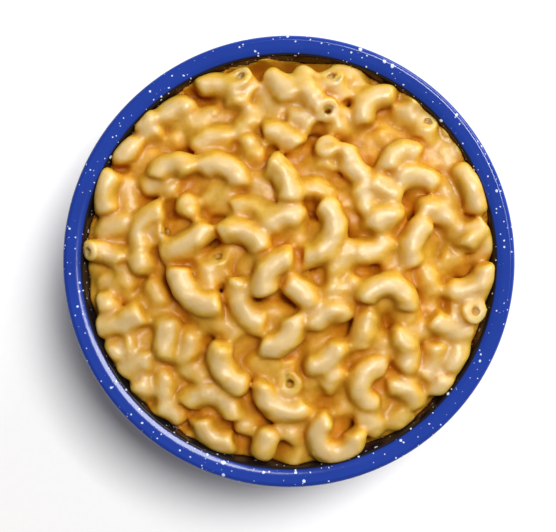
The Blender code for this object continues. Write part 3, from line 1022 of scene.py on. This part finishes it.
def sauce_surface():
    """The sauce's mesh: the field's surface, kept inside the bowl's wall."""
    wall = np.hypot(x, y) - wall_radius(z, WALL - 0.08)
    overlap = np.maximum(EDGE_ROUND - np.abs(field - wall), 0.0)
    shut = np.maximum(field, wall) + overlap ** 2 / (4.0 * EDGE_ROUND)
    shut = np.maximum(shut, FIELD_FLOOR - z)
    shut[0], shut[-1], shut[:, 0], shut[:, -1], shut[:, :, -1] = (CELL,) * 5
    fill_pinches(shut)
    verts, faces = surface_of(shut)
    for _ in range(2):
        uphill = slope(shut, verts)
        size = np.maximum((uphill ** 2).sum(1), 0.25)
        move = uphill * (sample(shut, verts) / size)[:, None]
        verts = verts - np.clip(move, -0.4 * CELL, 0.4 * CELL)
    return verts, faces


sauce_verts, sauce_faces = sauce_surface()
print("sauce vertices", len(sauce_verts), "faces", len(sauce_faces))

# %% Make the sauce piece


def largest_part(shape):
    """Delete every part of a mesh that isn't joined to its largest one."""
    unseen = set(shape.verts)
    parts = []
    while unseen:
        part = [unseen.pop()]
        for vert in part:
            for edge in vert.link_edges:
                other = edge.other_vert(vert)
                if other in unseen:
                    unseen.remove(other)
                    part.append(other)
        parts.append(part)
    parts.sort(key=len)
    for part in parts[:-1]:
        bmesh.ops.delete(shape, geom=part, context="VERTS")
    return len(parts) - 1


def make_sauce(verts, faces):
    """Build the sauce. Its flat underside is one large face, because nothing shows there."""
    mesh = bpy.data.meshes.new("cheese_sauce")
    mesh.vertices.add(len(verts))
    mesh.vertices.foreach_set("co", (verts * MM).astype(np.float32).ravel())
    mesh.loops.add(faces.size)
    mesh.loops.foreach_set("vertex_index", faces.astype(np.int32).ravel())
    mesh.polygons.add(len(faces))
    mesh.polygons.foreach_set("loop_start", np.arange(0, faces.size, 4, dtype=np.int32))
    mesh.update()
    mesh.validate()
    shape = bmesh.new()
    shape.from_mesh(mesh)
    under = (FIELD_FLOOR + 0.6 * CELL) * MM
    low = [face for face in shape.faces if max(v.co.z for v in face.verts) < under]
    bmesh.ops.delete(shape, geom=low, context="FACES")
    print("bubbles taken out:", largest_part(shape))
    bmesh.ops.holes_fill(shape, edges=[edge for edge in shape.edges if edge.is_boundary])
    bmesh.ops.recalc_face_normals(shape, faces=shape.faces[:])
    shape.to_mesh(mesh)
    shape.free()
    mesh.shade_smooth()
    mesh.materials.append(food)
    piece = bpy.data.objects.new("cheese_sauce", mesh)
    scene.collection.objects.link(piece)
    return piece


sauce = make_sauce(sauce_verts, sauce_faces)
print("sauce faces", len(sauce.data.polygons))

# %% [markdown]
# ## Colour follows the field
#
# Bare pasta is pale cream, and sauce is a warm yellow that turns strong orange where it is
# thick. Painted shade is added on top: shut-in places and low places are painted darker
# and more orange, and faces turned up are painted paler than flanks, as painted light from
# above. All of it is read from the field at every vertex of both pieces: how pale the nearest
# pasta is against the sauce around it, and how open the place is, from how fast the distance
# grows on the way out. Because the pasta and the sauce read the same field, no line shows
# where one runs into the other.

# %% Paint the attributes
CLEAR_FILM = 0.55  # the sauce's thickness that hides most of the pasta's own colour
SIDE_COAT = 3.2  # how much paler a crown is than a flank: partly sauce running off crowns, partly painted light from above
LOW, HIGH = -5.5, 3.5  # heights about the heap's smooth surface where the colour is darkest and palest: partly thicker sauce low down, partly painted shade
HEIGHT_SHARE = 0.55  # how much of the paleness comes from height alone, which is partly painted shade
SIGHT_STEPS = (0.9, 1.8, 3.2, 5.5)  # distances at which the way out is looked along


def paint(piece):
    places, normals = vertex_arrays(piece.data)
    cover = np.maximum(sample(pasta, places), 0.0)
    # Crowns paler than flanks: partly sauce drained off the top, partly painted light from above.
    drained_and_painted_top_light = np.exp(-SIDE_COAT * (1.0 - np.clip(normals[:, 2], 0.0, 1.0)))
    above = places[:, 2] - mound(places[:, 0], places[:, 1])
    # Low places painted darker: partly thicker sauce, partly painted shade.
    height = np.clip((above - LOW) / (HIGH - LOW), 0.0, 1.0) * drained_and_painted_top_light
    paleness = sample(pale, places) * np.exp(-cover / CLEAR_FILM)
    paleness = height * (HEIGHT_SHARE + (1.0 - HEIGHT_SHARE) * paleness)
    # How open a place is; the material paints shut-in places darker and more orange as painted shade.
    openness = 0.0
    side = np.cross(normals, (0.31, 0.87, 0.38))
    side /= np.linalg.norm(side, axis=1)[:, None]
    other = np.cross(normals, side)
    ways = [normals]
    for turn in np.radians(np.arange(0.0, 360.0, 60.0)):
        ways.append(0.6 * normals + 0.8 * (math.cos(turn) * side + math.sin(turn) * other))
    for way in ways:
        clear = 1.0
        for step in SIGHT_STEPS:
            clear = np.minimum(clear, sample(field, places + step * way) / (0.55 * step))
        openness = openness + np.clip(clear, 0.0, 1.0) / len(ways)
    store_numbers(piece, "paleness", paleness)
    store_numbers(piece, "openness", openness)
    print(piece.name, "paleness", np.percentile(paleness, (5, 50, 95)).round(2),
          "openness", np.percentile(openness, (5, 50, 95)).round(2))


paint(macaroni)
paint(sauce)

# %% [markdown]
# ## The food's finish
#
# The sauce is wet and slightly see-through, so light that enters at one place comes out
# at another: that is the Principled shader's subsurface part. Its colour runs from orange
# sauce to cream pasta by the two attributes, which also carry painted shade and painted
# light, with a little cloudiness of its own. The surface has a fine ripple, and its gloss
# varies, because the coat isn't even.

# %% The food material


def colour_steps(tree, factor, stops):
    """A colour ramp through the given stops."""
    ramp = node(tree, "ShaderNodeValToRGB", Fac=factor)
    steps = ramp.color_ramp.elements
    while len(steps) < len(stops):
        steps.new(0.5)
    for step, (position, colour) in zip(steps, stops):
        step.position = position
        step.color = (*colour, 1.0)
    return ramp.outputs["Color"]


def finish_food():
    tree = food_tree
    place = node(tree, "ShaderNodeTexCoord").outputs["Object"]
    paleness = node(tree, "ShaderNodeAttribute", {"attribute_name": "paleness"}).outputs["Fac"]
    openness = node(tree, "ShaderNodeAttribute", {"attribute_name": "openness"}).outputs["Fac"]
    cloud = node(tree, "ShaderNodeTexNoise", Vector=place, Scale=150.0, Detail=5.0,
                 Roughness=0.62).outputs["Fac"]
    coat = node(tree, "ShaderNodeMapRange", in0=cloud, in1=0.3, in2=0.7, in3=-0.20, in4=0.20)
    mixed = node(tree, "ShaderNodeMath", {"operation": "ADD"}, in0=paleness, in1=coat.outputs[0])
    # Colour from orange sauce to cream pasta; the paleness attribute also carries painted light and painted
    # shade.
    shown = colour_steps(tree, mixed.outputs[0], (
        (0.0, (0.51, 0.290, 0.020)),
        (0.15, (0.58, 0.345, 0.034)),
        (0.33, (0.66, 0.42, 0.072)),
        (0.64, (0.67, 0.488, 0.225)),
    ))
    # Painted shade: shut-in places are multiplied darker and more orange.
    painted_crevice_shade = colour_steps(tree, openness, (
        (0.0, (0.97, 0.50, 0.13)),
        (0.45, (1.0, 0.82, 0.52)),
        (0.95, (1.0, 1.0, 1.0)),
    ))
    colour = node(tree, "ShaderNodeMix", {"data_type": "RGBA", "blend_type": "MULTIPLY"},
                  in0=1.0, in6=shown, in7=painted_crevice_shade)
    ripple = node(tree, "ShaderNodeTexNoise", Vector=place, Scale=480.0, Detail=4.0)
    bump = node(tree, "ShaderNodeBump", Strength=0.34, Distance=0.0005, Height=ripple.outputs["Fac"])
    gloss = node(tree, "ShaderNodeMapRange", in0=cloud, in1=0.3, in2=0.7, in3=0.34, in4=0.50)
    tree.links.new(colour.outputs[2], food_shader.inputs["Base Color"])
    tree.links.new(gloss.outputs[0], food_shader.inputs["Roughness"])
    tree.links.new(bump.outputs["Normal"], food_shader.inputs["Normal"])
    food_shader.inputs["Subsurface Weight"].default_value = 1.0
    food_shader.inputs["Subsurface Radius"].default_value = (1.0, 0.88, 0.65)
    food_shader.inputs["Subsurface Scale"].default_value = 0.0055
    food_shader.inputs["IOR"].default_value = 1.40
    shine = node(tree, "ShaderNodeMapRange", in0=paleness, in1=0.1, in2=0.5, in3=0.15, in4=0.5)
    tree.links.new(shine.outputs[0], food_shader.inputs["Specular IOR Level"])
    wet = node(tree, "ShaderNodeMapRange", in0=paleness, in1=0.1, in2=0.5, in3=0.02, in4=0.50)
    tree.links.new(wet.outputs[0], food_shader.inputs["Coat Weight"])
    sparkle = node(tree, "ShaderNodeTexNoise", Vector=place, Scale=1000.0, Detail=3.0)
    glaze = node(tree, "ShaderNodeBump", Strength=0.80, Distance=0.0003, Height=sparkle.outputs["Fac"])
    tree.links.new(glaze.outputs["Normal"], food_shader.inputs["Coat Normal"])
    food_shader.inputs["Coat Roughness"].default_value = 0.28


finish_food()
print("food nodes:", len(food_tree.nodes))

# %% [markdown]
# ## The core
#
# Below the elbows that show lies more of the same food. It is never seen, so it is one
# turned plug that follows the bowl's inside, from the floor up into the sauce.

# %% Turn the core
CORE_GAP = 0.3
CORE_TOP = FIELD_FLOOR + 1.0


def core_section():
    floor = FOOT_RECESS + WALL + CORE_GAP
    heights = np.linspace(CORE_TOP, floor, 14)
    side = [(float(wall_radius(h, WALL + CORE_GAP)), float(h)) for h in heights]
    return [(0.0, CORE_TOP)] + side + [(0.0, floor)]


core = turned("food_core", core_section(), 96, food)
store_numbers(core, "paleness", np.full(len(core.data.vertices), 0.1))
store_numbers(core, "openness", np.full(len(core.data.vertices), 0.5))
print("core faces:", len(core.data.polygons))

# %% [markdown]
# ## The floor
#
# A wide pale sheet takes the soft shadow. It isn't part of the object.

# %% The floor


def make_floor():
    mesh = bpy.data.meshes.new("floor")
    shape = bmesh.new()
    bmesh.ops.create_circle(shape, cap_ends=True, segments=96, radius=4.0)
    shape.to_mesh(mesh)
    shape.free()
    material, tree, shader = new_material("white_paper")
    place = node(tree, "ShaderNodeTexCoord").outputs["Object"]
    fibre = node(tree, "ShaderNodeTexNoise", Vector=place, Scale=300.0, Detail=2.0)
    shade = colour_steps(tree, fibre.outputs["Fac"], ((0.0, (0.93, 0.93, 0.93)), (1.0, (0.96, 0.96, 0.96))))
    tree.links.new(shade, shader.inputs["Base Color"])
    shader.inputs["Roughness"].default_value = 0.8
    mesh.materials.append(material)
    piece = bpy.data.objects.new("floor", mesh)
    scene.collection.objects.link(piece)
    return piece


floor = make_floor()

# %% [markdown]
# ## Hand over to the frame
#
# The bowl stands for the imported bowl. The pasta, the sauce and the core together stand
# for the imported heap. Nothing here moves, so all ride on the one body.

# %% Ride and replace
for piece, material_slot in ((bowl, "blue_enamel"), (macaroni, "cheese_macaroni"),
                             (sauce, "cheese_macaroni"), (core, "cheese_macaroni")):
    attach(piece, "root")
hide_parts("bowl")
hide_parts("macaroni_heap")
